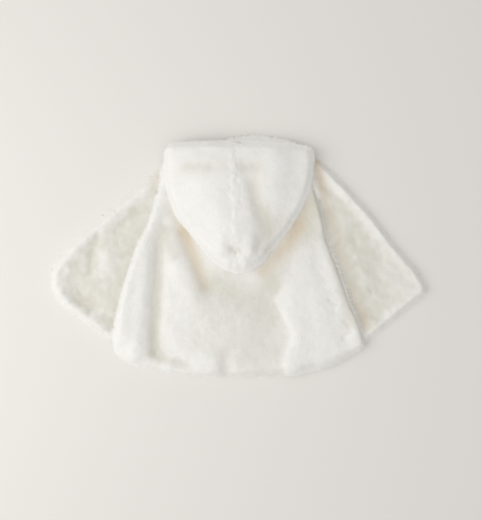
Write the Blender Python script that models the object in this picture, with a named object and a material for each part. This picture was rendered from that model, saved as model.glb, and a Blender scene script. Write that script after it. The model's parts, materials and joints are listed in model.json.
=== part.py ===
"""Hooded plush cape for a small child, laid flat with its back up and the hood turned down over the back.

Modelled in millimetres and written in metres: +X to the right, +Y towards the neck, +Z up from the floor.
The fronts lie on the floor, the back lies on them and the folded hood lies on the back.
"""

import math

import bmesh
import bpy
import numpy as np
from mathutils import Matrix, Vector
from mathutils.geometry import delaunay_2d_cdt

MM = 0.001

# Cloth, from backing to pile tips, and the space kept between two pieces
CLOTH = 8.0
GAP = 0.3
LIFT = 3.2  # the most that a fold of the back rises off what it lies on
FRONT_TOP = CLOTH
BACK_UNDER = FRONT_TOP + GAP
BACK_TOP = BACK_UNDER + CLOTH + 1.0
WING_RIM = 6.5  # the plump border of a front stands this much over its middle
HEM_DROP = 6.5  # the hem of the back hangs down past the hems of the fronts
CORNER_DROP = 4.0  # the corners of the hood hang down past the shoulders

# Hood: two layers with the empty inside between them
HOOD_LAYER = 10.5
HOOD_INSIDE = 3.0
HOOD_DOME = 7.0
MOUTH_DEPTH = 9.0  # the two lips of the face opening part by this much

# Mesh: spacing of the outline and of the points inside it, the steps round an edge, and two more rings
# of points beside the edge
STEP = 10.0
EDGE_STEPS = 3
NEAR_EDGE = (5.0, 12.0)

# Outlines: each edge runs through its points in a smooth curve, and the four edges meet at the corners
BACK_EDGES = {  # x, y
    "left": [(-78, 176), (-107, 166), (-122, 140), (-126, 118), (-131, 92), (-144, 50), (-161, 16),
             (-176, -26), (-189, -71), (-198, -108), (-203, -135)],
    "hem": [(-203, -135), (-195, -159), (-166, -174), (-128, -184), (-75, -192), (0, -195), (72, -191),
            (117, -183), (152, -172), (181, -157), (204, -143)],
    "right": [(204, -143), (194, -108), (179, -71), (162, -21), (142, 28), (130, 75), (118, 116),
              (110, 145), (98, 163), (78, 176)],
    "neck": [(78, 176), (40, 179), (-40, 179), (-78, 176)],
}
FRONT_LEFT_EDGES = {  # x, y
    "side": [(-64, 172), (-100, 160), (-122, 142), (-142, 126), (-170, 102), (-202, 78), (-227, 54),
             (-266, 20), (-290, -7), (-300, -24), (-302, -42)],
    "hem": [(-302, -42), (-294, -66), (-277, -84), (-259, -98), (-222, -124), (-197, -141), (-142, -160),
            (-78, -176), (-8, -182)],
    "front": [(-8, -182), (-8, -20), (-8, 138)],
    "neck": [(-8, 138), (-30, 145), (-52, 160), (-64, 172)],
}
FRONT_RIGHT_EDGES = {  # x, y
    "side": [(302, -52), (294, -36), (275, -12), (246, 22), (218, 59), (189, 92), (158, 124), (130, 150),
             (100, 164), (60, 172)],
    "neck": [(60, 172), (48, 160), (20, 145), (-5, 138)],
    "front": [(-5, 138), (-5, -20), (-5, -182)],
    "hem": [(-5, -182), (82, -174), (146, -158), (197, -140), (218, -125), (246, -104), (275, -79),
            (297, -63), (302, -52)],
}
HOOD_EDGES = {  # x, y
    "left": [(-109, 183), (-116, 174), (-117, 153), (-116, 129), (-106, 72), (-80, 38), (-51, 3),
             (-38, -10), (-22, -22), (-4, -28)],
    "right": [(-4, -28), (10, -27), (29, -16), (54, 6), (77, 35), (96, 65), (110, 97), (117, 145),
              (118, 166), (113, 176)],
    "mouth": [(113, 176), (82, 181), (50, 184), (0, 186), (-54, 185), (-109, 183)],
}
# How far the under layer of the face opening shows past the upper one
UNDER_LIP = [(-117, 0.0), (-30, 0.0), (-10, 9.0), (20, 12.0), (60, 10.0), (95, 4.0), (118, 0.0)]  # x, y offset

# Folds: the line a fold follows, its height (below zero for a hollow), its reach to the left and to
# the right of that line, and the share of the height left at its first and last point
BACK_FOLDS = [  # name, line, height, reach left, reach right, first share, last share
    ("left roll", [(-136, 100), (-160, 28), (-180, -50), (-188, -125)], 9.0, 15, 15, 0.6, 0.9),
    ("first trough", [(-119, 45), (-131, -30), (-134, -110), (-120, -150), (-85, -176)], -4.0, 13, 12, 0.9, 0.6),
    ("second ridge", [(-112, 30), (-100, -15), (-78, -60), (-60, -103)], 7.0, 9, 22, 0.8, 0.3),
    ("second trough", [(-104, 70), (-84, 25), (-62, -20), (-50, -56)], -4.0, 12, 16, 0.7, 0.5),
    ("right fold", [(66, -30), (84, -62), (80, -98), (98, -124), (92, -150), (84, -176)], 6.0, 11, 34, 0.3, 0.9),
    ("right edge", [(124, 90), (152, -20), (182, -105), (196, -138)], 5.0, 12, 10, 0.6, 0.9),
    ("hem dimple", [(-21, -155), (-21, -184)], -4.0, 8, 8, 0.3, 1.0),
]
WING_FOLDS = [  # name, line, height, reach left, reach right, first share, last share
    ("left crease", [(-232, 40), (-228, 5), (-214, -38)], -2.6, 12, 8, 0.8, 0.7),
    ("left hollow", [(-252, -62), (-228, -80)], -2.6, 14, 14, 0.9, 0.9),
    ("left swell", [(-208, 12), (-206, -36)], 2.4, 14, 14, 0.8, 0.8),
    ("right crease", [(196, 60), (214, 6), (224, -52)], -2.0, 10, 10, 0.6, 0.9),
    ("right swell", [(248, -40), (268, -54)], 2.4, 18, 18, 0.8, 0.8),
]
HOOD_FOLDS = [  # name, line, height, reach left, reach right, first share, last share
    ("crown seam", [(-9, 188), (-8, 120), (-6, 40), (-5, -30)], -1.8, 5, 5, 1.0, 1.0),
    ("crown dimple", [(-7, 11), (-6, 5)], -5.0, 7, 7, 1.0, 1.0),
    ("crown swell", [(-26, 16), (-8, -2), (18, 14)], 2.6, 12, 12, 0.8, 0.9),
    ("left dent", [(-78, 142), (-48, 140)], -2.6, 13, 13, 0.7, 0.9),
    ("right dent", [(12, 142), (30, 140)], -2.4, 13, 13, 0.9, 0.7),
    ("right valley", [(16, 115), (34, 68)], -3.2, 12, 14, 0.8, 0.9),
]

# Seam plane between the two hood sides, as two of its points seen from above
HOOD_SEAM = ((-8.0, 186.0), (-4.0, -28.0))

SLOTS = {  # material name: base colour, roughness
    "plush_back": ((0.84, 0.82, 0.77, 1.0), 0.9),
    "plush_front": ((0.83, 0.81, 0.75, 1.0), 0.9),
    "plush_hood": ((0.86, 0.84, 0.79, 1.0), 0.9),
}


def smooth(value, low, high):
    """0 up to low, 1 from high, with a soft step between."""
    t = np.clip((np.asarray(value, float) - low) / (high - low), 0.0, 1.0)
    return t * t * (3.0 - 2.0 * t)


def curve(points, step):
    """Points about step apart on a smooth curve through the given ones, without the last."""
    p = np.array(points, float)
    p = np.vstack([2 * p[0] - p[1], p, 2 * p[-1] - p[-2]])
    fine = []
    for a, b, c, d in zip(p, p[1:], p[2:], p[3:]):
        for t in np.linspace(0.0, 1.0, 12, endpoint=False):
            fine.append(0.5 * (2 * b + (c - a) * t + (2 * a - 5 * b + 4 * c - d) * t**2
                               + (3 * b - a - 3 * c + d) * t**3))
    fine = np.array(fine + [p[-2]])
    along = np.concatenate([[0.0], np.cumsum(np.linalg.norm(np.diff(fine, axis=0), axis=1))])
    at = np.linspace(0.0, along[-1], max(2, round(along[-1] / step)) + 1)[:-1]
    return np.stack([np.interp(at, along, fine[:, k]) for k in (0, 1)], axis=1)


def outline(edges, step=STEP):
    """The closed outline through all the edges, anticlockwise."""
    points = np.vstack([curve(points, step) for points in edges.values()])
    x, y = points.T
    turn = np.sum(x * np.roll(y, -1) - np.roll(x, -1) * y)
    return points if turn > 0 else points[::-1]


def moved_in(loop, distance):
    """The outline moved inwards, each point by its own distance."""
    along = np.roll(loop, -1, axis=0) - np.roll(loop, 1, axis=0)
    along /= np.linalg.norm(along, axis=1)[:, None]
    inward = np.stack([-along[:, 1], along[:, 0]], axis=1)
    return loop + inward * np.asarray(distance, float).reshape(-1, 1)


def line_distance(x, y, line):
    """For each place: its distance to a line, the side it is on and how far along the nearest point is."""
    p = np.array(line, float)
    place = np.stack([np.ravel(x), np.ravel(y)], axis=1)
    best = np.full(len(place), np.inf)
    side = np.ones(len(place))
    share = np.zeros(len(place))
    for i, (a, b) in enumerate(zip(p, p[1:])):
        way = b - a
        t = np.clip((place - a) @ way / (way @ way), 0.0, 1.0)
        apart = place - a - t[:, None] * way
        d = np.linalg.norm(apart, axis=1)
        near = d < best
        best[near] = d[near]
        side[near] = np.sign(way[0] * apart[near, 1] - way[1] * apart[near, 0])
        share[near] = (i + t[near]) / (len(p) - 1)
    return best, side, share


def folds(x, y, table):
    """The height that a table of folds adds at each place. Left is the left of a line that runs downwards."""
    height = np.zeros(np.size(x))
    for _, line, rise, left, right, first, last in table:
        d, side, share = line_distance(x, y, line)
        reach = np.where(side < 0, left, right)
        height += rise * (first + (last - first) * share) * np.exp(-((d / reach) ** 2))
    return height


def inside_by(x, y, loop):
    """How far inside a closed outline each place is, below zero outside."""
    closed = np.vstack([loop, loop[:1]])
    d, _, _ = line_distance(x, y, closed)
    x, y = np.ravel(x), np.ravel(y)
    within = np.zeros(len(x), bool)
    for (ax, ay), (bx, by) in zip(closed, closed[1:]):
        if ay == by:
            continue
        crosses = (ay > y) != (by > y)
        within ^= crosses & (x < ax + (y - ay) * (bx - ax) / (by - ay))
    return np.where(within, d, -d)


def front_top(x, y, own):
    """The top of a front: level under the back, and beside it a shallow dish with a plump border."""
    beside = smooth(-inside_by(x, y, BACK), 2.0, 18.0) * (1.0 - smooth(inside_by(x, y, HOOD), -8.0, 2.0))
    border = np.exp(-(((inside_by(x, y, own) - 9.0) / 8.0) ** 2))
    return FRONT_TOP + beside * (WING_RIM * border + folds(x, y, WING_FOLDS))


def past_fronts(x, y):
    """0 over the fronts, 1 where the hem of the back has run out past them."""
    return smooth(np.minimum(*(-inside_by(x, y, loop) for loop in (FRONT_LEFT, FRONT_RIGHT))), 2.0, 11.0)


def back_folds(x, y):
    under_hood = smooth(inside_by(x, y, HOOD), 0.0, 22.0)
    return folds(x, y, BACK_FOLDS) * (1.0 - 0.8 * under_hood)


def back_top(x, y):
    return BACK_TOP + back_folds(x, y) - 0.8 * HEM_DROP * past_fronts(x, y)


def back_under(x, y):
    return BACK_UNDER + np.clip(0.5 * back_folds(x, y), 0.0, LIFT) - HEM_DROP * past_fronts(x, y)


def hood_under(x, y):
    """The hood lies on the back, so its under side follows the back's top."""
    past_back = smooth(-inside_by(x, y, BACK), 4.0, 16.0)
    return BACK_TOP + back_folds(x, y) + GAP - CORNER_DROP * past_back


def hood_rise(x, y):
    """The height of the folded hood over its under side."""
    dome = HOOD_DOME * smooth(inside_by(x, y, HOOD), 0.0, 70.0)
    return 2.0 * HOOD_LAYER + HOOD_INSIDE + dome


def hood_top(x, y):
    level = BACK_TOP + GAP + hood_rise(x, y)
    return level + 0.4 * (hood_under(x, y) - BACK_TOP - GAP) + folds(x, y, HOOD_FOLDS)


def hood_inside(x, y, way):
    """The upper (way 1) or lower (way -1) wall of the empty inside of the hood."""
    share = (HOOD_LAYER + 0.5 * HOOD_INSIDE) / (2.0 * HOOD_LAYER + HOOD_INSIDE)
    level = hood_under(x, y) + share * (hood_top(x, y) - hood_under(x, y))
    return level + 0.5 * way * HOOD_INSIDE


def within_points(loop, spacing):
    """Points in rows inside an outline, clear of the rings beside it."""
    low, high = loop.min(axis=0), loop.max(axis=0)
    rows = np.arange(low[1] + 0.5 * spacing, high[1], spacing * math.sqrt(0.75))
    found = []
    for i, y in enumerate(rows):
        x = np.arange(low[0] + (0.25 + 0.5 * (i % 2)) * spacing, high[0], spacing)
        found.append(np.stack([x, np.full(len(x), y)], axis=1))
    found = np.vstack(found)
    return found[inside_by(*found.T, loop) > NEAR_EDGE[-1] + 0.6 * spacing]


def body(name, loop, top, under, edge=5.0, inset=None, shift=None):
    """A closed body between two surfaces over an outline, with a rounded edge.

    edge is how far in the rounding starts. inset(angle) moves the edge further in, and shift(angle) moves it
    along Y, where the angle runs from -90 degrees at the under side to 90 degrees at the top.
    """
    angles = np.radians(np.linspace(-90.0, 90.0, 2 * EDGE_STEPS + 1))
    rim = moved_in(loop, edge)
    rings = [moved_in(rim, distance) for distance in NEAR_EDGE]
    rings = [ring[inside_by(*ring.T, rim) > 0.8 * distance] for ring, distance in zip(rings, NEAR_EDGE)]
    inner = np.vstack([*rings, within_points(rim, STEP)])
    count = len(loop)
    flat, _, faces, _, _, _ = delaunay_2d_cdt(
        [Vector(p) for p in np.vstack([rim, inner])], [], [list(range(count))], 1, 1e-4)
    flat = np.array([tuple(p) for p in flat])
    if len(flat) != count + len(inner):
        raise ValueError(f"{name}: the outline crosses itself")
    mesh = bmesh.new()

    def place(xy, angle):
        """Points of the body over xy: at an angle round the edge, or on the top or under side."""
        low, high = under(xy[:, 0], xy[:, 1]), top(xy[:, 0], xy[:, 1])
        z = 0.5 * (low + high) + 0.5 * (high - low) * math.sin(angle)
        y = xy[:, 1] + (shift(xy, angle) if shift else 0.0)
        return [mesh.verts.new(v) for v in np.stack([xy[:, 0], y, z], axis=1) * MM]

    rings = []
    for angle in angles[1:-1]:
        further = inset(loop, angle) if inset else 0.0
        rings.append(place(moved_in(loop, edge * (1.0 - math.cos(angle)) + further), angle))
    lower, upper = place(flat, angles[0]), place(flat, angles[-1])
    rings = [lower[:count], *rings, upper[:count]]
    for a, b in zip(rings, rings[1:]):
        for i in range(count):
            j = (i + 1) % count
            mesh.faces.new((a[i], a[j], b[j], b[i]))
    for face in faces:
        mesh.faces.new([upper[i] for i in face])
        mesh.faces.new([lower[i] for i in reversed(face)])
    bmesh.ops.triangulate(mesh, faces=mesh.faces)
    bmesh.ops.recalc_face_normals(mesh, faces=mesh.faces)
    return mesh


def material(name):
    colour, roughness = SLOTS[name]
    made = bpy.data.materials.new(name)
    made.use_nodes = True
    shader = made.node_tree.nodes["Principled BSDF"]
    shader.inputs["Base Color"].default_value = colour
    shader.inputs["Roughness"].default_value = roughness
    return made


def add(name, mesh, slot):
    data = bpy.data.meshes.new(name)
    mesh.to_mesh(data)
    mesh.free()
    data.materials.append(bpy.data.materials.get(slot) or material(slot))
    made = bpy.data.objects.new(name, data)
    bpy.context.scene.collection.objects.link(made)
    return made


def front(name, loop):
    """A front: its under side is flat on the floor."""
    mesh = body(name, loop, lambda x, y: front_top(x, y, loop), lambda x, y: np.zeros(np.size(x)), edge=6.0)
    return add(name, mesh, "plush_front")


def back():
    return add("back", body("back", BACK, back_top, back_under, edge=6.0), "plush_back")


def at_mouth(loop):
    """1 along the face opening, 0 along the sides and the crown."""
    return smooth(loop[:, 1], 172.0, 180.0)


def hood():
    """The whole hood folded flat, with its empty inside open at the face opening."""

    def lips(loop, angle):
        return MOUTH_DEPTH * at_mouth(loop) * math.exp(-((angle / 0.5) ** 2))

    def under_lip(xy, angle):
        offsets = np.interp(xy[:, 0], *np.array(UNDER_LIP).T)
        near = smooth(xy[:, 1], 120.0, 180.0)
        return offsets * near * (1.0 - smooth(math.sin(angle), -0.5, 0.2))

    return body("hood", HOOD, hood_top, hood_under, edge=11.0, inset=lips, shift=under_lip)


def hood_hollow():
    """The empty inside, which runs out past the face opening."""
    inner = moved_in(HOOD, 12.0 - 40.0 * at_mouth(HOOD))
    return body("inside", inner, lambda x, y: hood_inside(x, y, 1), lambda x, y: hood_inside(x, y, -1), edge=2.0)


def halves(mesh):
    """The two sides of the hood, parted at the crown seam by GAP."""
    a, b = (Vector((*p, 0.0)) * MM for p in HOOD_SEAM)
    across = (b - a).cross(Vector((0.0, 0.0, 1.0))).normalized()
    for name, way in (("hood_left", -1.0), ("hood_right", 1.0)):
        side = mesh.copy()
        away = across * math.copysign(1.0, across.x) * way
        cut = bmesh.ops.bisect_plane(side, geom=[*side.verts, *side.edges, *side.faces], dist=1e-7,
                                     plane_co=a + away * 0.5 * GAP * MM, plane_no=away, clear_inner=True)
        edges = [e for e in cut["geom_cut"] if isinstance(e, bmesh.types.BMEdge)]
        filled = bmesh.ops.triangle_fill(side, use_beauty=True, edges=edges)
        bmesh.ops.triangulate(side, faces=[f for f in filled["geom"] if isinstance(f, bmesh.types.BMFace)])
        bmesh.ops.recalc_face_normals(side, faces=side.faces)
        add(name, side, "plush_hood")


def hood_sides():
    whole = add("hood", hood(), "plush_hood")
    hollow = add("hollow", hood_hollow(), "plush_hood")
    cut = whole.modifiers.new("inside", "BOOLEAN")
    cut.operation = "DIFFERENCE"
    cut.solver = "EXACT"
    cut.object = hollow
    mesh = bmesh.new()
    mesh.from_object(whole, bpy.context.evaluated_depsgraph_get())
    for helper in (whole, hollow):
        bpy.data.objects.remove(helper)
    bmesh.ops.triangulate(mesh, faces=mesh.faces)
    halves(mesh)
    mesh.free()


def centre_on_origin():
    """Moves all the pieces so that the middle of their box is over the origin, on the floor."""
    pieces = bpy.context.scene.objects
    points = np.array([v.co for piece in pieces for v in piece.data.vertices])
    low, high = points.min(axis=0), points.max(axis=0)
    by = Vector((-(low[0] + high[0]) / 2, -(low[1] + high[1]) / 2, -low[2]))
    for piece in pieces:
        piece.data.transform(Matrix.Translation(by))


for old in list(bpy.data.objects):
    bpy.data.objects.remove(old)

HOOD = outline(HOOD_EDGES)
BACK = outline(BACK_EDGES)
FRONT_LEFT = outline(FRONT_LEFT_EDGES)
FRONT_RIGHT = outline(FRONT_RIGHT_EDGES)
front("front_left", FRONT_LEFT)
front("front_right", FRONT_RIGHT)
back()
hood_sides()
centre_on_origin()
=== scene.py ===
"""Hooded plush cape for a small child, laid flat on a pale floor with its back up and its hood turned down.

Each panel of the cape is a shell of backing and dense pile, made from its CAD solid, and the loose strands
of its pile are a second piece on it. Lines in the tables are millimetres seen from above: +X to the right
and +Y to the neck.
"""

import json

import bmesh
import bpy
import numpy as np
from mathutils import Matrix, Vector, noise
from mathutils.bvhtree import BVHTree

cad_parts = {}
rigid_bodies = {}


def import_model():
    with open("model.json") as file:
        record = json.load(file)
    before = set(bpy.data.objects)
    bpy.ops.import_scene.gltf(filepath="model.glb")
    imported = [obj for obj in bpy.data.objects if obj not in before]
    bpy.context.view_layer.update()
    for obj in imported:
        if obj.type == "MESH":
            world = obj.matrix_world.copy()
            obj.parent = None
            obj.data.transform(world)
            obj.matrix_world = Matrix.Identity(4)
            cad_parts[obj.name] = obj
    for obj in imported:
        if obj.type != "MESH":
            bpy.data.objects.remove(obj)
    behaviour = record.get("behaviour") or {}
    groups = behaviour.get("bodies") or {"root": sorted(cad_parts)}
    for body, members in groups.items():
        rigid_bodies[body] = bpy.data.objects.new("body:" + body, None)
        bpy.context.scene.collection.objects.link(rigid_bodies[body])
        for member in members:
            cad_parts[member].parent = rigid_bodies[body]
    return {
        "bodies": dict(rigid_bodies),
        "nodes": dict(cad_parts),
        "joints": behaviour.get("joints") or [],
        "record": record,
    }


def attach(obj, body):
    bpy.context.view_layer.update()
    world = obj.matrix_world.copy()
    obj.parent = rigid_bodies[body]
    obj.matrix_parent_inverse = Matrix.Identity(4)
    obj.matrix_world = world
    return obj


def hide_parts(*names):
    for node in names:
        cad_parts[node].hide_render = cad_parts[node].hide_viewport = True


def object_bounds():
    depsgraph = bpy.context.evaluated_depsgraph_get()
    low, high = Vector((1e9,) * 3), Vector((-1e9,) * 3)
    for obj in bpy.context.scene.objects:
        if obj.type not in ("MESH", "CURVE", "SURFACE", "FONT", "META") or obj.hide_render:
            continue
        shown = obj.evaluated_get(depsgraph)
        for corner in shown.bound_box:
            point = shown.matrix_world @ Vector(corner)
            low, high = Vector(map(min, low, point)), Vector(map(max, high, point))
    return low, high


MM = 0.001

# Mesh: the longest edges that show, in the first pass and in the later ones
COARSE = 8.0
FINE = (4.5, 2.6)
SEAM_CLOSES = 0.3  # how far each hood side is moved over to the seam between them

# Pile: the shell is its dense depth, sunk a little so that the strands end just past the CAD solid
SINK = (0.8, 1.0)  # on the flat, at an edge
STRAND = (0.5, 4.2)  # width at the root, length
EDGE_LENGTH = 1.35  # how much longer the strands are at an edge
PRESSED = 0.7  # how much shorter they are on an underside
SHORTEST = 0.25  # no strand stands where it would be shorter than this share
SIZES = (0.6, 1.2)  # how much strands differ in length
TWIST = 0.9  # how far a strand may be turned about itself
OUTWARD = 0.2  # a strand stands only where it points away from its own cloth
LOOK = (0.6, 12.0)  # room for a strand: from how far over the cloth it is looked for, and how far
ROOM = (1.0, 5.0)  # the room where the pile starts, and where it stands whole
STRANDS_PER_MM2 = (0.8, 2.8)  # on the flat, at an edge
LEAN = (0.5, 0.87)  # how much a strand stands up from the cloth, and how much it lies along the nap
NAP_TURNS = [(0.6, 13.0, 20.0), (0.5, 6.0, 30.0)]  # how far the nap turns, over which distance, seed
UNEVEN = 0.3  # how much a strand strays from its neighbours
OWN_SHADE = 0.22  # how much of its own shading a strand keeps in the smooth coat
THIN_EDGE = 2.4  # how much light comes through the pile at an edge
SAG = (0.65, 6.0)  # how far an edge sags onto what lies beside it: share of the way, and at most
BESIDE = (12.0, 40.0)  # how far outside an edge that is looked for, and how far down
DROOP = (13.0, 172.0, 193.0)  # how far the hood's mouth hangs down past the neck, from and up to these Y
NAP_FROM = (0.0, 190.0)  # the nap runs away from the neck
LOCKS = (5.0, 13.0)  # width and length of the locks that the nap lies in

# Photograph: what its frame spans at the height of the cape, and the middle of it
PICTURE = (769.6, 832.0)
PICTURE_MIDDLE = (2.4, -5.7, 15.0)
CAMERA_HEIGHT = 2400.0

# Light
SKY = (0.23, 1.02)  # all round, and added straight above
SKY_SLOPE = 0.9  # how much brighter the sky is on its bright side
SKY_SIDE = (-0.9, -0.35, 0.0)
BACKDROP = 0.82  # what a low view sees behind the floor
WINDOW = (-1.0, -0.1, 1.0)
WINDOW_SIZE = 1.2
WINDOW_POWER = 8.0

# Folds on top of those of the CAD solids: line, height (below zero for a hollow), reach to the left and to
# the right of the line, and the share of the height left at its first and last point. The tables after these
# three have the same columns.
BACK_FOLDS = [  # name, line, height, reach left, reach right, first share, last share
    ("left roll", [(-124, 92), (-136, 50), (-146, 28), (-149, -6), (-154, -46), (-157, -86), (-163, -134),
                   (-170, -160)], 6.0, 15, 14, 0.5, 0.8),
    ("first trough", [(-119, 62), (-120, 34), (-126, -6), (-125, -46), (-127, -86), (-134, -130),
                      (-132, -150)], -2.7, 11, 8, 0.4, 1.0),
    ("foot of the first trough", [(-130, -157), (-104, -171), (-76, -180)], -2.5, 9, 8, 1.0, 0.6),
    ("second ridge", [(-112, 30), (-107, -9), (-96, -50), (-86, -90)], 1.0, 9, 24, 1.0, 0.6),
    ("second trough", [(-107, 70), (-94, 39), (-78, 4), (-64, -28), (-53, -50)], -3.6, 9, 11, 0.6, 0.5),
    ("middle hollow", [(-18, -44), (34, -67), (50, -99)], -2.5, 34, 30, 0.8, 0.8),
    ("wavy step", [(70, -40), (74, -56), (63, -70), (74, -86), (80, -100), (92, -120), (89, -134), (82, -150),
                   (77, -166), (80, -186)], 3.0, 7, 20, 0.3, 1.0),
    ("right fold", [(105, -14), (117, -54), (138, -102), (153, -146), (158, -178)], 4.0, 44, 20, 0.5, 1.0),
    ("right swell", [(114, 74), (107, 26), (101, -30)], 2.0, 16, 20, 0.0, 0.8),
    ("right dip", [(141, 30), (155, -9), (166, -46), (179, -104)], -3.0, 14, 10, 0.8, 0.8),
    ("right edge", [(123, 106), (139, 42), (158, -9), (178, -62), (194, -105), (203, -137)],
     -2.2, 10, 9, 0.8, 1.0),
    ("upper whorl", [(146, -70), (155, -76), (152, -86)], -1.6, 4, 4, 1.0, 0.6),
    ("lower whorl", [(170, -105), (178, -121), (168, -130)], -1.6, 4, 4, 0.6, 1.0),
    ("hem dimple", [(-21, -150), (-21, -191)], -2.2, 9, 12, 0.4, 1.0),
    ("hem bump", [(-54, -163), (-40, -172)], 2.0, 12, 12, 0.8, 1.0),
    ("trough foot", [(-142, -160), (-126, -167)], -2.0, 11, 11, 0.8, 1.0),
    ("trough end", [(-98, -167), (-85, -172)], -1.5, 9, 9, 1.0, 0.8),
]
WING_FOLDS = [  # name, line, height, reach left, reach right, first share, last share
    ("left wedge", [(-226, 36), (-235, 2), (-238, -26)], -2.6, 7, 6, 0.8, 0.8),
    ("left hollow", [(-258, -70), (-238, -65)], -1.7, 11, 11, 0.9, 0.9),
    ("left swell", [(-216, 1), (-219, -28)], 2.4, 13, 13, 0.8, 0.8),
    ("left beside the back", [(-158, 50), (-178, -9), (-194, -70), (-203, -115)], -1.8, 14, 14, 0.6, 0.9),
    ("left upper dents", [(-197, 42), (-181, 57), (-165, 71)], -1.6, 6, 6, 1.0, 0.8),
    ("right beside the back", [(133, 98), (149, 42), (168, -9), (181, -54), (194, -99)],
     -1.4, 12, 14, 0.6, 1.0),
    ("right shoulder", [(116, 132), (128, 100)], 4.0, 10, 9, 1.0, 0.8),
    ("right low", [(208, -92), (226, -99)], -2.0, 9, 9, 1.0, 1.0),
    ("right swell", [(245, -18), (264, -54)], 2.2, 14, 14, 0.7, 0.9),
    ("right dents", [(181, 39), (194, 7)], -1.4, 8, 8, 1.0, 0.8),
]
HOOD_FOLDS = [  # name, line, height, reach left, reach right, first share, last share
    ("crown seam", [(-10, 190), (-8, 122), (-5, 50), (-5, -28)], 1.2, 5, 5, 1.0, 1.0),
    ("dimple", [(-13, 14), (-6, 7), (0, 10)], -1.6, 5, 5, 0.6, 0.8),
    ("left lump", [(-27, 30), (-29, 7)], 1.8, 9, 9, 0.8, 1.0),
    ("right lump", [(18, 30), (19, 10)], 2.4, 9, 9, 0.8, 1.0),
    ("tip groove", [(-5, 1), (-3, -28)], -0.8, 4, 4, 1.0, 0.4),
    ("left tip lump", [(-18, -11), (-16, -17)], 1.8, 8, 8, 1.0, 1.0),
    ("right tip lump", [(10, -11), (11, -17)], 1.8, 8, 8, 1.0, 1.0),
    ("left dent", [(-82, 142), (-46, 142)], -1.2, 10, 10, 0.6, 1.0),
    ("left upper dent", [(-62, 167), (-37, 164)], -1.2, 9, 9, 0.8, 1.0),
    ("right dent", [(8, 142), (30, 142)], -1.4, 10, 10, 1.0, 0.8),
    ("right valley", [(21, 115), (28, 88), (37, 55)], -3.6, 11, 14, 0.8, 0.6),
    ("right of crown", [(37, 26), (30, 7)], -1.6, 7, 8, 0.9, 0.9),
    ("right cheek", [(60, 150), (64, 105), (56, 66)], 3.5, 20, 36, 0.9, 0.6),
    ("left of crown", [(-50, 160), (-40, 90), (-24, 30)], 2.6, 45, 36, 1.0, 0.7),
    ("lower lip", [(10, 201), (40, 200), (62, 197), (88, 190)], 12.0, 7, 7, 1.0, 0.8),
]
HOOD_THINS = [  # the share by which the folded hood is thinner towards its edges
    ("right side", [(112, 176), (117, 145), (108, 97), (92, 62), (70, 28)], -0.5, 55, 20, 0.9, 0.8),
    ("left side", [(-112, 176), (-117, 153), (-106, 72), (-80, 38)], -0.3, 20, 36, 0.9, 0.7),
    ("mouth", [(-112, 192), (-4, 196), (60, 194), (112, 188)], -0.25, 22, 22, 0.8, 1.0),
]
HOOD_THINNEST = -0.6
HOOD_LIES_AT = 17.0  # the height of the back below the hood
HOOD_DRAWS_IN = [  # how far the edge of the hood is drawn to the right, below zero to the left
    ("left of the tip", [(-104, 80), (-86, 42), (-70, 18), (-58, -2), (-40, -20)], 6.0, 20, 18, 0.6, 0.4),
    ("right of the tip", [(112, 96), (102, 71), (82, 34), (60, 8)], -8.0, 22, 20, 0.4, 1.0),
]
HOOD_DRAWS_UP = [("tip", [(-18, -27), (26, -27)], 3.5, 18, 18, 0.9, 1.0)]  # and towards the neck
CROWN_SEAM = [(-10, 200), (-8, 122), (-5, 50), (-5, -40)]
SEAM_FACES = [(-8, 187.1), (-4, -26.9)]  # where the flat sides of the two hood pieces face each other
TUFTS = (5.0, 6.0)  # how far from the crown seam its tufts stand, and how wide
TUFT_HEIGHT = (0.3, 0.8, 8.0)  # their height, how uneven it is, and the size of a tuft

# Painted shade: where the coat is painted creamier and darker than its folds alone shade it; here the height
# is the share of painted shade
PAINTED_HOLLOW_SHADE = (0.6, 3.6)  # how much shade is painted into a hollow, from this depth
RIDGE_LESS_SHADE = (0.7, 2.4)  # how much of the painted shade a ridge loses, from this height
BACK_PAINTED_SHADE = [  # name, line, share of painted shade, reach left, reach right, first share, last share
    ("first trough", [(-123, 44), (-131, 0), (-137, -60), (-138, -115), (-134, -150)], 0.7, 14, 13, 0.9, 0.9),
    ("middle", [(-40, -50), (10, -90), (20, -125)], 0.5, 46, 30, 1.0, 0.8),
    ("low middle", [(-60, -130), (0, -165), (50, -165)], 0.35, 34, 34, 0.6, 1.0),
    ("beside the step", [(64, -50), (54, -69), (65, -90), (69, -100), (79, -120), (79, -134), (72, -152)],
     0.4, 26, 2, 1.0, 0.5),
    ("right of the hood", [(118, 84), (106, 40), (86, -2), (54, -34)], 0.9, 20, 24, 1.0, 0.8),
    ("left of the hood", [(-114, 40), (-106, 0)], 0.7, 9, 10, 0.8, 1.0),
]
HOOD_PAINTED_SHADE = [
    ("left dent", [(-80, 142), (-35, 142)], 0.8, 14, 14, 0.8, 1.0),
    ("right dent", [(5, 142), (35, 142)], 0.5, 14, 14, 1.0, 0.8),
    ("right valley", [(24, 105), (42, 45), (62, 50)], 0.7, 14, 24, 0.4, 1.0),
    ("dimple", [(-12, 13), (0, 10)], 0.7, 6, 6, 1.0, 1.0),
    ("low on the right", [(50, 66), (46, 18)], 0.6, 16, 16, 1.0, 1.0),
]
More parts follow.
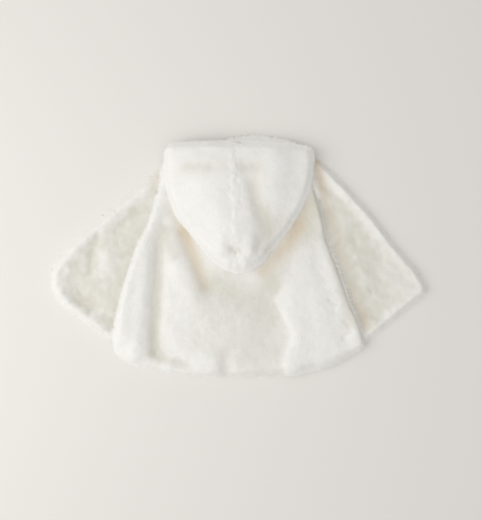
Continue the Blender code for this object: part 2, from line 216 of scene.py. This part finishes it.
PAINTED_GAP_SHADE = {  # painted warm shade, where light goes back and forth between two panels
    "back": [
        ("left of the hood", [(-105, 80), (-88, 44)], 0.9, 9, 9, 0.4, 0.8),
        ("left of the tip", [(-86, 36), (-67, -12), (-56, -46)], 1.0, 11, 12, 1.0, 0.5),
        ("right of the hood", [(110, 84), (96, 52)], 0.8, 9, 10, 0.4, 1.0),
        ("right of the tip", [(92, 44), (72, 14), (38, -24)], 1.0, 12, 13, 1.0, 0.6),
    ],
    "front_left": [
        ("beside the hood", [(-128, 130), (-138, 114)], 0.5, 8, 8, 1.0, 0.8),
        ("left hollow", [(-246, -72), (-234, -70)], 0.3, 10, 10, 1.0, 1.0),
    ],
    "front_right": [
        ("beside the hood", [(120, 172), (126, 142), (133, 112)], 0.95, 8, 9, 0.8, 1.0),
        ("beside the back", [(137, 98), (148, 60), (172, -20)], 0.55, 9, 9, 1.0, 0.8),
        ("at the hem", [(180, -46), (204, -112)], 0.7, 9, 9, 0.6, 1.0),
    ],
}
WING_RIMS = [  # the outer edges of the two fronts
    [(-109, 150), (-170, 102), (-227, 54), (-290, -7), (-302, -42), (-277, -84), (-222, -124), (-190, -145)],
    [(112, 160), (189, 92), (246, 22), (294, -36), (302, -52), (275, -79), (218, -125), (195, -142)],
]
RIM_WIDTH = (8.0, 25.0)  # where painted shade starts inside the lighter, unshaded border of a front, and where it is full
RIM_STRAYS = 9.0  # how far that line wanders
INNER_PAINTED_SHADE = (0.62, 0.4)  # how much shade is painted inside, and how uneven
PAINTED_SHADE_PATCH = 16.0  # size of the uneven patches of that painted shade

LUMP_SIZES = (9.0, 24.0)  # of the small lumps and of the broad ones
LUMPS = {  # height of the small lumps, of the broad lumps and of the locks of the pile
    "front_left": (0.8, 1.2, 0.4), "front_right": (0.8, 1.2, 0.4), "back": (0.3, 0.8, 0.25),
    "hood_left": (0.25, 0.7, 0.15), "hood_right": (0.25, 0.7, 0.15),
}

# CAD node, its folds, seed of its pile, slot, flat size, share of it that is cloth, how it is held, lies on
PANELS = [
    ("front_left", WING_FOLDS, 1, "plush_front", (0.31, 0.36), 0.67, "laid", []),
    ("front_right", WING_FOLDS, 2, "plush_front", (0.32, 0.36), 0.67, "laid", []),
    ("back", BACK_FOLDS, 3, "plush_back", (0.43, 0.38), 0.80, "laid", ["front_left", "front_right"]),
    ("hood_left", HOOD_FOLDS, 4, "plush_hood", (0.25, 0.24), 0.83, "folded", ["back"]),
    ("hood_right", HOOD_FOLDS, 5, "plush_hood", (0.25, 0.24), 0.83, "folded", ["back"]),
]

# The plush is the same on every panel; its tips are painted lighter on the hood and darker on the fronts, for
# how the light falls on them.
FINISHES = {  # slot: colour of the tips, painted shade colour down in the pile and in hollows, warm painted shade colour in the gap beside another panel
    "plush_back": ((0.872, 0.857, 0.824, 1.0), (0.672, 0.654, 0.578, 1.0), (0.670, 0.585, 0.460, 1.0)),
    "plush_front": ((0.855, 0.838, 0.802, 1.0), (0.670, 0.650, 0.572, 1.0), (0.670, 0.595, 0.480, 1.0)),
    "plush_hood": ((0.882, 0.867, 0.836, 1.0), (0.690, 0.672, 0.598, 1.0), (0.690, 0.600, 0.480, 1.0)),
}
BLOTCH = 12.0  # size of the uneven patches of colour
GRAIN = 2.2  # size of the grain of the pile


def load_cape():
    """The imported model, and its box before anything is added."""
    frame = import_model()
    low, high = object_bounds()
    return frame, [list(low), list(high)]


def smooth(value, low, high):
    """0 up to low, 1 from high, with a soft step between."""
    t = np.clip((np.asarray(value, float) - low) / (high - low), 0.0, 1.0)
    return t * t * (3.0 - 2.0 * t)


def unit(vectors):
    return vectors / np.maximum(np.linalg.norm(vectors, axis=1), 1e-9)[:, None]


def line_distance(x, y, line):
    """For each place: its distance to a line, its side of it, from -1 to 1, and how far along that is."""
    p = np.array(line, float)
    place = np.stack([x, y], axis=1)
    best = np.full(len(place), np.inf)
    side = np.zeros(len(place))
    share = np.zeros(len(place))
    for i, (a, b) in enumerate(zip(p, p[1:])):
        way = b - a
        t = np.clip((place - a) @ way / (way @ way), 0.0, 1.0)
        apart = place - a - t[:, None] * way
        d = np.linalg.norm(apart, axis=1)
        near = d < best
        best[near] = d[near]
        across = way[0] * apart[near, 1] - way[1] * apart[near, 0]
        side[near] = across / (np.linalg.norm(way) * np.maximum(d[near], 1e-6))
        share[near] = (i + t[near]) / (len(p) - 1)
    return best, side, share


def folds(x, y, table):
    """The height that a table of folds adds at each place. Left is the left of a line that runs downwards."""
    height = np.zeros(len(x))
    for _, line, rise, left, right, first, last in table:
        d, side, share = line_distance(x, y, line)
        reach = 0.5 * (left + right) + 0.5 * (right - left) * side
        height += rise * (first + (last - first) * share) * np.exp(-((d / reach) ** 2))
    return height


def mottle(x, y, size, seed):
    """Soft uneven lumps about size across, from -1 to 1."""
    return np.array([noise.noise(Vector((a / size, b / size, seed))) for a, b in zip(x, y)])


def ruffle(x, y):
    """The tufts that stand up on both sides of the crown seam."""
    d, _, _ = line_distance(x, y, CROWN_SEAM)
    away, width = TUFTS
    height, uneven, size = TUFT_HEIGHT
    return np.exp(-(((d - away) / width) ** 2)) * (height + uneven * mottle(x, y, size, 40.0))


def locks(x, y):
    """The soft locks that the pile lies in, along the nap."""
    away = np.hypot(x - NAP_FROM[0], y - NAP_FROM[1])
    turn = np.arctan2(x - NAP_FROM[0], NAP_FROM[1] - y) * 180.0
    wander = 3.0 * mottle(x, y, 30.0, 70.0)
    width, length = LOCKS
    return mottle((turn + wander) / width, away / length, 1.0, 80.0)


def edge(normal):
    """How much a place belongs to an edge, where the coat stands out sideways."""
    return (1.0 - smooth(normal[:, 2], 0.15, 0.75)) * smooth(normal[:, 2], -0.9, -0.6)


def upper(normal):
    """How much a place belongs to the upper side, which has the folds."""
    return smooth(normal[:, 2], 0.0, 0.7)


def painted_shade_from_above(x, y, node):
    """How much shade is painted on the coat from above: inside the lighter border of the fronts, and in
    places on the back and the hood.
    """
    if node == "back" or node.startswith("hood"):
        return np.clip(folds(x, y, BACK_PAINTED_SHADE if node == "back" else HOOD_PAINTED_SHADE), 0.0, 1.0)
    rim = np.min([line_distance(x, y, line)[0] for line in WING_RIMS], axis=0)
    inside = smooth(rim + RIM_STRAYS * mottle(x, y, PAINTED_SHADE_PATCH, 90.0), *RIM_WIDTH)
    share, uneven = INNER_PAINTED_SHADE
    return inside * np.clip(share + uneven * mottle(x, y, PAINTED_SHADE_PATCH, 95.0), 0.0, 1.0)


def surface(meshes):
    """The faces of some CAD solids, for finding what lies beside a place."""
    joined = bmesh.new()
    for mesh in meshes:
        joined.from_mesh(mesh)
    found = BVHTree.FromBMesh(joined)
    joined.free()
    return found


def reached(place, way, far):
    """How far a ray runs from each place before it meets the outside of the cape or the floor, up to far."""
    run = np.full(len(place), far)
    down = way[:, 2] < -0.02
    run[down] = np.minimum(far, place[down, 2] / -way[down, 2])
    for i, (p, w) in enumerate(zip(place, way)):
        _, facing, _, distance = CAPE.ray_cast(Vector(p * MM), Vector(w), run[i] * MM)
        if distance is not None and facing.dot(w) < 0.0:
            run[i] = distance / MM
    return run


def sagged(place, normal):
    """How far down the soft sides of a panel sag, onto what lies just outside them."""
    side = smooth(normal[:, 2], -0.95, -0.3) * (1.0 - smooth(normal[:, 2], 0.2, 0.95))
    soft = np.flatnonzero(side > 0.01)
    outside, deepest = BESIDE
    beside = place[soft] + outside * unit(normal[soft] * [1.0, 1.0, 0.0])
    drop = reached(beside, np.tile([0.0, 0.0, -1.0], (len(soft), 1)), deepest)
    share, most = SAG
    down = np.zeros(len(place))
    down[soft] = side[soft] * np.minimum(share * drop, most)
    return down


def nap(place, normal, seed):
    """The way a strand points at each place: partly up from the cloth, partly along the uneven nap."""
    x, y, _ = place.T
    way = unit(np.stack([x - NAP_FROM[0], y - NAP_FROM[1]], axis=1))
    turn = sum(far * mottle(x, y, size, seed + step) for far, size, step in NAP_TURNS)
    way = np.stack([way[:, 0] * np.cos(turn) - way[:, 1] * np.sin(turn),
                    way[:, 0] * np.sin(turn) + way[:, 1] * np.cos(turn), np.zeros(len(x))], axis=1)
    along = way - normal * np.sum(way * normal, axis=1)[:, None]
    out = edge(normal)[:, None]
    return unit(normal * (LEAN[0] + 0.5 * out) + along * LEAN[1] * (1.0 - 0.7 * out))


def put(data, name, values):
    """Keeps a number or a direction for each vertex of a mesh."""
    vector = np.ndim(values) == 2
    kept = data.attributes.new(name, "FLOAT_VECTOR" if vector else "FLOAT", "POINT")
    kept.data.foreach_set("vector" if vector else "value", np.ravel(values))


def finished(name, mesh):
    data = bpy.data.meshes.new(name)
    mesh.to_mesh(data)
    mesh.free()
    made = bpy.data.objects.new(name, data)
    bpy.context.scene.collection.objects.link(made)
    return made


def seam_faces(mesh):
    """The flat faces where the two hood sides meet at the crown seam."""
    upright = [face for face in mesh.faces if abs(face.normal.x) > 0.985]
    if not upright:
        return []
    x, y, _ = (np.array([face.calc_center_median() for face in upright]) / MM).T
    d, _, _ = line_distance(x, y, SEAM_FACES)
    return [face for face, apart in zip(upright, d) if apart < 0.6]


def refine(mesh, longest):
    """Halves the edges that show and are too long, and rounds the shape off, but not along the seam."""
    layer = mesh.verts.layers.float.get("pile")
    edges = [e for e in mesh.edges if e.calc_length() > longest * MM
             and (layer is None or max(v[layer] for v in e.verts) > 0.02)]
    bmesh.ops.subdivide_edges(mesh, edges=edges, cuts=1, use_grid_fill=True)
    bmesh.ops.triangulate(mesh, faces=mesh.faces)
    mesh.normal_update()
    sewn = {v for face in seam_faces(mesh) for v in face.verts}
    for sideways in (False, True, False):
        bmesh.ops.smooth_vert(mesh, verts=[v for v in mesh.verts if v not in sewn], factor=0.5,
                              use_axis_x=sideways, use_axis_y=sideways, use_axis_z=True)
    mesh.verts.index_update()
    mesh.normal_update()


def places(mesh):
    """Where the vertices are, and which way the coat on them faces."""
    place = np.array([v.co for v in mesh.verts]) / MM
    normal = np.array([v.normal for v in mesh.verts])
    seam = set(seam_faces(mesh))
    for v in {v for face in seam for v in face.verts}:
        ways = [face.normal for face in v.link_faces if face not in seam]
        if ways:
            normal[v.index] = sum(ways, Vector()).normalized()
    return place, normal


def keep(mesh, name, values):
    """Keeps a number for each vertex, which new vertices then take a share of."""
    layer = mesh.verts.layers.float.new(name)
    for v, value in zip(mesh.verts, values):
        v[layer] = value


def kept(mesh, name):
    layer = mesh.verts.layers.float[name]
    return np.array([v[layer] for v in mesh.verts])


def glow(normal):
    """The way the coat is shaded: at an edge, light also comes through the thin pile from above."""
    thin = 1.0 - smooth(normal[:, 2], 0.1, 0.9)
    level = normal * [1.0, 1.0, 0.0] + np.maximum(normal, 0.0) * [0.0, 0.0, 1.0]
    lifted = unit(level + np.array([0.0, 0.0, 1.0]) * (THIN_EDGE * thin)[:, None])
    return np.where(normal[:, 2:] > -0.6, lifted, normal)


def panel(node, table, seed):
    """A panel's shell: its solid with finer faces, its sewn folds and the soft lumps of its pile."""
    mesh = bmesh.new()
    mesh.from_mesh(frame["nodes"][node].data)
    bmesh.ops.remove_doubles(mesh, verts=mesh.verts, dist=1e-5)
    bmesh.ops.dissolve_degenerate(mesh, dist=0.3 * MM, edges=mesh.edges)
    refine(mesh, COARSE)
    place, normal = places(mesh)
    over, far = LOOK
    keep(mesh, "pile", smooth(reached(place + over * normal, normal, far), *ROOM))
    keep(mesh, "sag", sagged(place, normal))
    for longest in FINE:
        refine(mesh, longest)
    place, normal = places(mesh)
    seam = {v.index for face in seam_faces(mesh) for v in face.verts}
    moved = laid(mesh, node, table, place, normal)
    moved[list(seam), 0] += -SEAM_CLOSES if node == "hood_right" else SEAM_CLOSES
    for v, co in zip(mesh.verts, moved * MM):
        v.co = co
    for face in mesh.faces:
        face.smooth = True
    keep_coat(mesh, node, table, place, normal)
    shell = finished(f"{node}_shell", mesh)
    put(shell.data, "lay", nap(place, normal, seed))
    shell.data.normals_split_custom_set_from_vertices(glow(normal_of(shell.data, seam, normal)))
    return shell


def laid(mesh, node, table, place, normal):
    """Where the cloth of a panel lies, with its folds, lumps and sagging sides, and the hood's own form."""
    x, y, _ = place.T
    small, broad, lock = LUMPS[node]
    small_size, broad_size = LUMP_SIZES
    rise = folds(x, y, table) + small * mottle(x, y, small_size, 50.0)
    rise += broad * mottle(x, y, broad_size, 60.0) + lock * locks(x, y)
    down = kept(mesh, "sag")
    hood = node.startswith("hood")
    if hood:
        rise += ruffle(x, y)
    if hood or node == "back":
        down += DROOP[0] * smooth(y, *DROOP[1:])
    sink = (SINK[0] + (SINK[1] - SINK[0]) * edge(normal)) * kept(mesh, "pile")
    moved = place + normal * (upper(normal) * rise - sink)[:, None]
    if hood:
        thin = np.maximum(folds(x, y, HOOD_THINS), HOOD_THINNEST)
        moved[:, 2] += thin * np.maximum(moved[:, 2] - HOOD_LIES_AT, 0.0)
        moved[:, 0] += folds(x, y, HOOD_DRAWS_IN)
        moved[:, 1] += folds(x, y, HOOD_DRAWS_UP)
    moved[:, 2] = np.maximum(moved[:, 2] - down, 0.0)
    return moved


def keep_coat(mesh, node, table, place, normal):
    """Keeps what the finish and the strands of a panel need: its painted shade in hollows, its painted warm
    shade in the gaps and its pile.
    """
    x, y, _ = place.T
    height = folds(x, y, table)
    hollow, depth = PAINTED_HOLLOW_SHADE
    ridge_unshade, rise = RIDGE_LESS_SHADE
    hollow_shade_share = hollow * smooth(-height, 0.0, depth)
    hollow_shade_share += painted_shade_from_above(x, y, node) * (1.0 - ridge_unshade * smooth(height, 0.0, rise))
    # Painted shade: creamier and darker in hollows and in the listed places, less on ridges; kept as hollow.
    keep(mesh, "hollow", np.clip(hollow_shade_share * upper(normal), 0.0, 1.0))
    # Painted warm shade beside another panel.
    keep(mesh, "gap", np.clip(folds(x, y, PAINTED_GAP_SHADE.get(node, [])), 0.0, 1.0))
    out = edge(normal)
    tucked = smooth(-normal[:, 2], 0.3, 0.8)
    keep(mesh, "length", kept(mesh, "pile") * (1.0 + (EDGE_LENGTH - 1.0) * out) * (1.0 - PRESSED * tucked))
    keep(mesh, "sown", (STRANDS_PER_MM2[0] + (STRANDS_PER_MM2[1] - STRANDS_PER_MM2[0]) * out) / MM**2)


def normal_of(data, seam, before):
    """The way each vertex faces after its move, or as before along the seam."""
    normal = np.empty(3 * len(data.vertices))
    data.vertices.foreach_get("normal", normal)
    normal = normal.reshape(-1, 3)
    normal[list(seam)] = before[list(seam)]
    return normal


def strand():
    """One strand of the pile, standing on the origin: a narrow blade that ends in a point."""
    mesh = bmesh.new()
    width, length = STRAND
    root = [mesh.verts.new((side * 0.5 * width * MM, 0.0, 0.0)) for side in (1, -1)]
    mesh.faces.new((*root, mesh.verts.new((0.0, 0.0, length * MM))))
    made = finished("strand", mesh)
    # Its root corners are marked so that the root is painted darker, as shade at the foot of the pile.
    put(made.data, "root", [1.0, 1.0, 0.0])
    return made


def sowing(seed):
    """The node tree that sets strands on a shell, shorter where they have little room."""
    tree = bpy.data.node_groups.new("sowing", "GeometryNodeTree")
    tree.interface.new_socket("Shell", in_out="INPUT", socket_type="NodeSocketGeometry")
    tree.interface.new_socket("Strands", in_out="OUTPUT", socket_type="NodeSocketGeometry")

    def node(kind, inputs, **settings):
        made = tree.nodes.new(kind)
        for name, value in settings.items():
            setattr(made, name, value)
        for socket, value in inputs.items():
            if isinstance(value, bpy.types.NodeSocket):
                tree.links.new(value, made.inputs[socket])
            else:
                made.inputs[socket].default_value = value
        return made

    def of_shell(name, kind):
        return node("GeometryNodeInputNamedAttribute", {"Name": name}, data_type=kind).outputs[0]

    def chance(low, high, step):
        made = node("FunctionNodeRandomValue", {2: low, 3: high, "Seed": seed + step}, data_type="FLOAT")
        return made.outputs[1]

    shell = node("NodeGroupInput", {}).outputs[0]
    length = of_shell("length", "FLOAT")
    sown = node("GeometryNodeDistributePointsOnFaces",
                {"Mesh": shell, "Density": of_shell("sown", "FLOAT"), "Seed": seed})
    skin = sown.outputs["Normal"]
    points = node("GeometryNodeStoreNamedAttribute",
                  {"Geometry": sown.outputs["Points"], "Name": "skin", "Value": skin},
                  data_type="FLOAT_VECTOR")
    stray = node("FunctionNodeRandomValue", {"Min": (-UNEVEN,) * 3, "Max": (UNEVEN,) * 3, "Seed": seed},
                 data_type="FLOAT_VECTOR")
    lay = of_shell("lay", "FLOAT_VECTOR")
    way = node("ShaderNodeVectorMath", {0: lay, 1: stray.outputs[0]}, operation="ADD")
    stood = node("FunctionNodeAlignRotationToVector", {"Vector": way.outputs[0]}, axis="Z")
    flat = node("FunctionNodeAlignRotationToVector", {"Rotation": stood.outputs[0], "Vector": skin},
                axis="Y", pivot_axis="Z")
    about = node("FunctionNodeAxisAngleToRotation",
                 {"Axis": (0.0, 0.0, 1.0), "Angle": chance(-TWIST, TWIST, 1)})
    turned = node("FunctionNodeRotateRotation", {"Rotation": flat.outputs[0], "Rotate By": about.outputs[0]},
                  rotation_space="LOCAL")
    size = node("ShaderNodeMath", {0: chance(*SIZES, 2), 1: length}, operation="MULTIPLY")
    one = node("GeometryNodeObjectInfo", {"Object": bpy.data.objects["strand"]})
    outward = node("ShaderNodeVectorMath", {0: skin, 1: lay}, operation="DOT_PRODUCT")
    shown = node("FunctionNodeCompare", {0: outward.outputs["Value"], 1: OUTWARD}, operation="GREATER_THAN")
    long = node("FunctionNodeCompare", {0: length, 1: SHORTEST}, operation="GREATER_THAN")
    room = node("FunctionNodeBooleanMath", {0: shown.outputs[0], 1: long.outputs[0]}, operation="AND")
    set_out = node("GeometryNodeInstanceOnPoints", {
        "Points": points.outputs[0], "Selection": room.outputs[0], "Instance": one.outputs["Geometry"],
        "Rotation": turned.outputs[0], "Scale": size.outputs[0]})
    real = node("GeometryNodeRealizeInstances", {"Geometry": set_out.outputs[0]})
    node("NodeGroupOutput", {0: real.outputs[0]})
    return tree


def strands(shell, seed):
    """The strands on a shell, as a mesh of their own, shaded as the smooth coat that they make together."""
    sown = bpy.data.objects.new("sown", shell.data)
    bpy.context.scene.collection.objects.link(sown)
    sown.modifiers.new("sowing", "NODES").node_group = sowing(seed)
    data = bpy.data.meshes.new_from_object(sown.evaluated_get(bpy.context.evaluated_depsgraph_get()))
    bpy.data.objects.remove(sown)
    place = np.empty(3 * len(data.vertices))
    data.vertices.foreach_get("co", place)
    place[2::3] = np.maximum(place[2::3], 0.2 * MM)
    data.vertices.foreach_set("co", place)
    skin = np.empty(3 * len(data.vertices))
    data.attributes["skin"].data.foreach_get("vector", skin)
    own = np.empty(3 * len(data.vertices))
    data.vertices.foreach_get("normal", own)
    shaded = unit(glow(skin.reshape(-1, 3)) + OWN_SHADE * own.reshape(-1, 3))
    data.normals_split_custom_set_from_vertices(shaded)
    made = bpy.data.objects.new(shell.name.replace("_shell", "_pile"), data)
    bpy.context.scene.collection.objects.link(made)
    return made


def coat():
    """The shared look of the plush: shade painted by depth and beside other panels, in uneven patches, and
    the grain of the pile.
    """
    tree = bpy.data.node_groups.new("plush_coat", "ShaderNodeTree")
    for name, kind in (("Tips", "Color"), ("Roots", "Color"), ("Gap", "Color"), ("Hollow", "Float"),
                       ("Between", "Float"), ("Root", "Float")):
        tree.interface.new_socket(name, in_out="INPUT", socket_type=f"NodeSocket{kind}")
    for name, kind in (("Color", "Color"), ("Height", "Float")):
        tree.interface.new_socket(name, in_out="OUTPUT", socket_type=f"NodeSocket{kind}")
    link = tree.links.new
    given = tree.nodes.new("NodeGroupInput").outputs
    made = tree.nodes.new("NodeGroupOutput").inputs
    place = tree.nodes.new("ShaderNodeTexCoord").outputs["Object"]

    def patches(size, detail):
        noise_node = tree.nodes.new("ShaderNodeTexNoise")
        noise_node.inputs["Scale"].default_value = 1.0 / (size * MM)
        noise_node.inputs["Detail"].default_value = detail
        link(place, noise_node.inputs["Vector"])
        return noise_node.outputs["Fac"]

    def math_node(kind, first, second, third=0.0):
        found = tree.nodes.new("ShaderNodeMath")
        found.operation = kind
        for socket, value in zip(found.inputs, (first, second, third)):
            if isinstance(value, bpy.types.NodeSocket):
                link(value, socket)
            else:
                socket.default_value = value
        return found.outputs[0]

    def mixed(share, first, second):
        found = tree.nodes.new("ShaderNodeMix")
        found.data_type = "RGBA"
        link(share, found.inputs["Factor"])
        link(first, found.inputs["A"])
        link(second, found.inputs["B"])
        return found.outputs["Result"]

    blotch = patches(BLOTCH, 3.0)
    grain = patches(GRAIN, 2.0)
    # Painted shade, darker at the strands' roots and in hollows, with uneven patches and grain.
    root_and_hollow_shade = math_node("MULTIPLY_ADD", given["Root"], 0.25, given["Hollow"])
    uneven = math_node("MULTIPLY_ADD", blotch, 0.4, -0.17)
    share = math_node("ADD", math_node("ADD", root_and_hollow_shade, uneven), math_node("MULTIPLY_ADD", grain, 0.3, -0.15))
    share.node.use_clamp = True
    # Painted shade: the tips colour goes towards the shade colour by depth, then towards the warm gap shade
    # colour.
    link(mixed(given["Between"], mixed(share, given["Tips"], given["Roots"]), given["Gap"]), made["Color"])
    link(math_node("MULTIPLY_ADD", blotch, 0.6, grain), made["Height"])
    return tree


def plush(slot, look):
    """The finish of a panel: white plush, with creamier painted shade down in the pile and warm painted shade
    beside another panel.
    """
    made = bpy.data.materials.new(slot)
    made.use_nodes = True
    tree = made.node_tree
    link = tree.links.new
    shader = tree.nodes["Principled BSDF"]
    shader.inputs["Roughness"].default_value = 0.9
    shader.inputs["Specular IOR Level"].default_value = 0.2
    shader.inputs["Sheen Weight"].default_value = 0.35
    shader.inputs["Sheen Roughness"].default_value = 0.5
    look_node = tree.nodes.new("ShaderNodeGroup")
    look_node.node_tree = look
    for name, colour in zip(("Tips", "Roots", "Gap"), FINISHES[slot]):
        look_node.inputs[name].default_value = colour
    # Reads the painted shade of hollows, the painted warm gap shade and the strands' painted root shade.
    for name, socket in (("hollow", "Hollow"), ("gap", "Between"), ("root", "Root")):
        read = tree.nodes.new("ShaderNodeAttribute")
        read.attribute_name = name
        link(read.outputs["Fac"], look_node.inputs[socket])
    bump = tree.nodes.new("ShaderNodeBump")
    bump.inputs["Strength"].default_value = 0.35
    bump.inputs["Distance"].default_value = 0.6 * MM
    link(look_node.outputs["Height"], bump.inputs["Height"])
    link(bump.outputs["Normal"], shader.inputs["Normal"])
    link(look_node.outputs["Color"], shader.inputs["Base Color"])
    return made


def floor():
    mesh = bmesh.new()
    bmesh.ops.create_grid(mesh, x_segments=1, y_segments=1, size=6.0)
    made = finished("floor", mesh)
    paper = bpy.data.materials.new("floor_paper")
    paper.use_nodes = True
    shader = paper.node_tree.nodes["Principled BSDF"]
    shader.inputs["Base Color"].default_value = (0.773, 0.753, 0.716, 1.0)
    shader.inputs["Roughness"].default_value = 1.0
    shader.inputs["Specular IOR Level"].default_value = 0.0
    made.data.materials.append(paper)


def area_light(name, place, aim, size, power):
    data = bpy.data.lights.new(name, "AREA")
    data.shape = "DISK"
    data.size = size
    data.energy = power
    made = bpy.data.objects.new(name, data)
    made.location = place
    made.rotation_mode = "QUATERNION"
    made.rotation_quaternion = (Vector(aim) - Vector(place)).to_track_quat("-Z", "Y")
    bpy.context.scene.collection.objects.link(made)


def studio():
    """A soft window on the left, and a sky that is brighter on its side."""
    world = bpy.data.worlds.new("studio")
    world.use_nodes = True
    tree = world.node_tree
    sky = tree.nodes["Background"]
    sky.inputs["Color"].default_value = (1.0, 0.997, 0.99, 1.0)
    way = tree.nodes.new("ShaderNodeTexCoord").outputs["Generated"]

    def step(kind, operation, *values):
        found = tree.nodes.new(kind)
        found.operation = operation
        for socket, value in zip(found.inputs, values):
            if isinstance(value, bpy.types.NodeSocket):
                tree.links.new(value, socket)
            else:
                socket.default_value = value
        return found.outputs["Value"]

    around, above = SKY
    aside = step("ShaderNodeVectorMath", "DOT_PRODUCT", way, Vector(SKY_SIDE).normalized())
    up = step("ShaderNodeVectorMath", "DOT_PRODUCT", way, (0.0, 0.0, 1.0))
    low = step("ShaderNodeMath", "MULTIPLY_ADD", aside, around * SKY_SLOPE, around)
    level = step("ShaderNodeMath", "MULTIPLY_ADD", step("ShaderNodeMath", "MULTIPLY", up, up), above, low)
    seen = tree.nodes.new("ShaderNodeLightPath").outputs["Is Camera Ray"]
    shown = tree.nodes.new("ShaderNodeMix")
    tree.links.new(seen, shown.inputs["Factor"])
    tree.links.new(level, shown.inputs["A"])
    shown.inputs["B"].default_value = BACKDROP
    tree.links.new(shown.outputs["Result"], sky.inputs["Strength"])
    bpy.context.scene.world = world
    area_light("window", WINDOW, (0.0, 0.0, 0.0), WINDOW_SIZE, WINDOW_POWER)
    bpy.context.scene.view_settings.view_transform = "Standard"


def camera():
    data = bpy.data.cameras.new("camera")
    middle = Vector(PICTURE_MIDDLE) * MM
    data.lens = data.sensor_width * (CAMERA_HEIGHT - PICTURE_MIDDLE[2]) / PICTURE[1]
    made = bpy.data.objects.new("camera", data)
    made.location = (middle.x, middle.y, CAMERA_HEIGHT * MM)
    bpy.context.scene.collection.objects.link(made)
    bpy.context.scene.camera = made


frame, cad_box = load_cape()
CAPE = surface(node.data for node in frame["nodes"].values())
look = coat()
finishes = {slot: plush(slot, look) for slot in FINISHES}
blade = strand()
for node, table, seed, slot, flat, share, held, under in PANELS:
    shell = panel(node, table, float(seed))
    pile = strands(shell, 10 * seed)
    pile.visible_shadow = pile.visible_diffuse = False  # light comes through the loose strands
    for piece in (shell, pile):
        piece.data.materials.clear()
        piece.data.materials.append(finishes[slot])
        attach(piece, "root")
    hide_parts(node)
bpy.data.objects.remove(blade)

floor()
studio()
camera()
